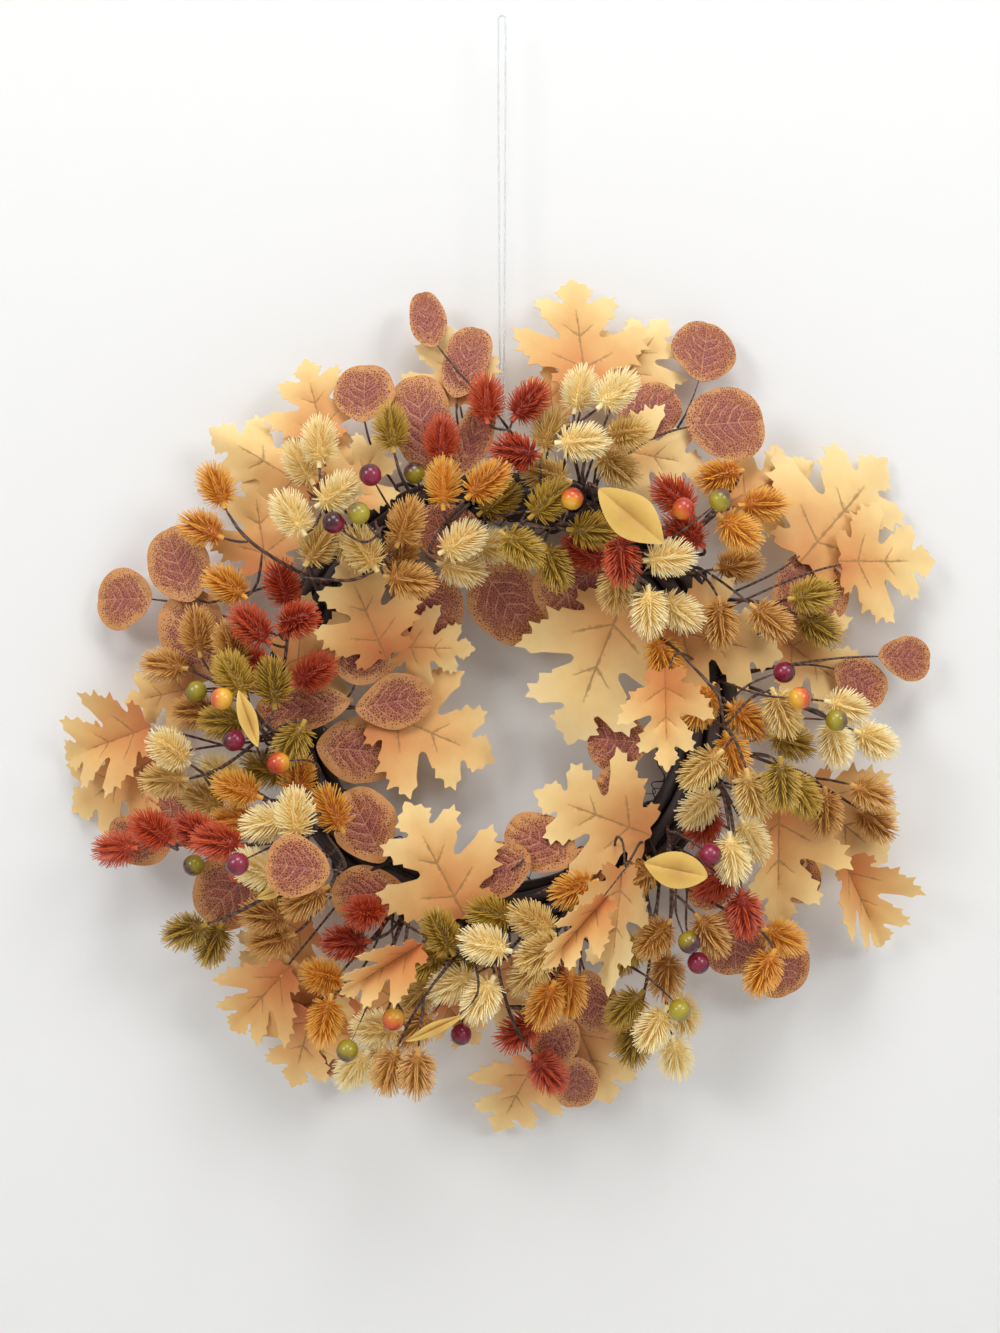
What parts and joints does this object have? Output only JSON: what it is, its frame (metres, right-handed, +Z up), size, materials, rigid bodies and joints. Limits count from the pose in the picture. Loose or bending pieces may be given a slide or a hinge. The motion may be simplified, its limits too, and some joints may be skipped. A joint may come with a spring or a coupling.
{
  "type": "harvest door wreath",
  "caption": "Round door wreath: a wound vine ring dressed with fabric oak and eucalyptus leaves, bristly buds and berries on wire stems, hung on a clear line.",
  "frame": {"origin": "top of the clear line's loop, where it sits on its hook", "axes": "+X right as seen from the front, +Y into the wall, +Z up"},
  "size_m": [0.6066, 0.168, 0.7836],
  "materials": {
    "line": "clear",
    "vine": "bark",
    "stem": "wrapped wire",
    "oak_leaf": "printed",
    "eucalyptus_leaf": "printed",
    "small_leaf": "printed",
    "cream_bud": "bristled",
    "tan_bud": "bristled",
    "amber_bud": "bristled",
    "ochre_bud": "bristled",
    "olive_bud": "bristled",
    "rust_bud": "bristled",
    "burgundy_berry": "lacquered",
    "olive_berry": "lacquered",
    "orange_berry": "lacquered"
  },
  "bodies": {
    "hanger": {"hanging_line": "line"},
    "wreath": {"outer_vine_coil": "vine", "inner_vine_coil": "vine", "binding_tendril": "vine", "oak_stems": "stem", "eucalyptus_stems": "stem", "bud_stems": "stem", "side_stems": "stem", "berry_wires": "stem", "small_leaves": "small_leaf", "oak_leaves_1": "oak_leaf", "oak_leaves_2": "oak_leaf", "oak_leaves_3": "oak_leaf", "oak_leaves_4": "oak_leaf", "oak_leaves_5": "oak_leaf", "oak_leaves_6": "oak_leaf", "oak_leaves_7": "oak_leaf", "oak_leaves_8": "oak_leaf", "oak_leaves_9": "oak_leaf", "oak_leaves_10": "oak_leaf", "oak_leaves_11": "oak_leaf", "oak_leaves_12": "oak_leaf", "eucalyptus_1": "eucalyptus_leaf", "eucalyptus_2": "eucalyptus_leaf", "eucalyptus_3": "eucalyptus_leaf", "eucalyptus_4": "eucalyptus_leaf", "eucalyptus_5": "eucalyptus_leaf", "eucalyptus_6": "eucalyptus_leaf", "eucalyptus_7": "eucalyptus_leaf", "eucalyptus_8": "eucalyptus_leaf", "eucalyptus_9": "eucalyptus_leaf", "eucalyptus_10": "eucalyptus_leaf", "cream_buds_upper_right": "cream_bud", "cream_buds_lower_right": "cream_bud", "cream_buds_lower_left": "cream_bud", "cream_buds_upper_left": "cream_bud", "tan_buds_upper_right": "tan_bud", "tan_buds_lower_right": "tan_bud", "tan_buds_lower_left": "tan_bud", "tan_buds_upper_left": "tan_bud", "amber_buds_upper_right": "amber_bud", "amber_buds_lower_right": "amber_bud", "amber_buds_lower_left": "amber_bud", "amber_buds_upper_left": "amber_bud", "ochre_buds_upper_right": "ochre_bud", "ochre_buds_lower_right": "ochre_bud", "ochre_buds_lower_left": "ochre_bud", "ochre_buds_upper_left": "ochre_bud", "olive_buds_upper_right": "olive_bud", "olive_buds_lower_right": "olive_bud", "olive_buds_lower_left": "olive_bud", "olive_buds_upper_left": "olive_bud", "rust_buds_upper_right": "rust_bud", "rust_buds_lower_right": "rust_bud", "rust_buds_lower_left": "rust_bud", "rust_buds_upper_left": "rust_bud", "burgundy_berries": "burgundy_berry", "olive_berries": "olive_berry", "orange_berries": "orange_berry"}
  },
  "joints": [
    {"name": "wreath_swing", "type": "hinge", "parent": "hanger", "child": "wreath", "pos_m": [0, 0, -0.335], "axis": [1, 0, 0], "range_deg": [-15, 0]}
  ]
}
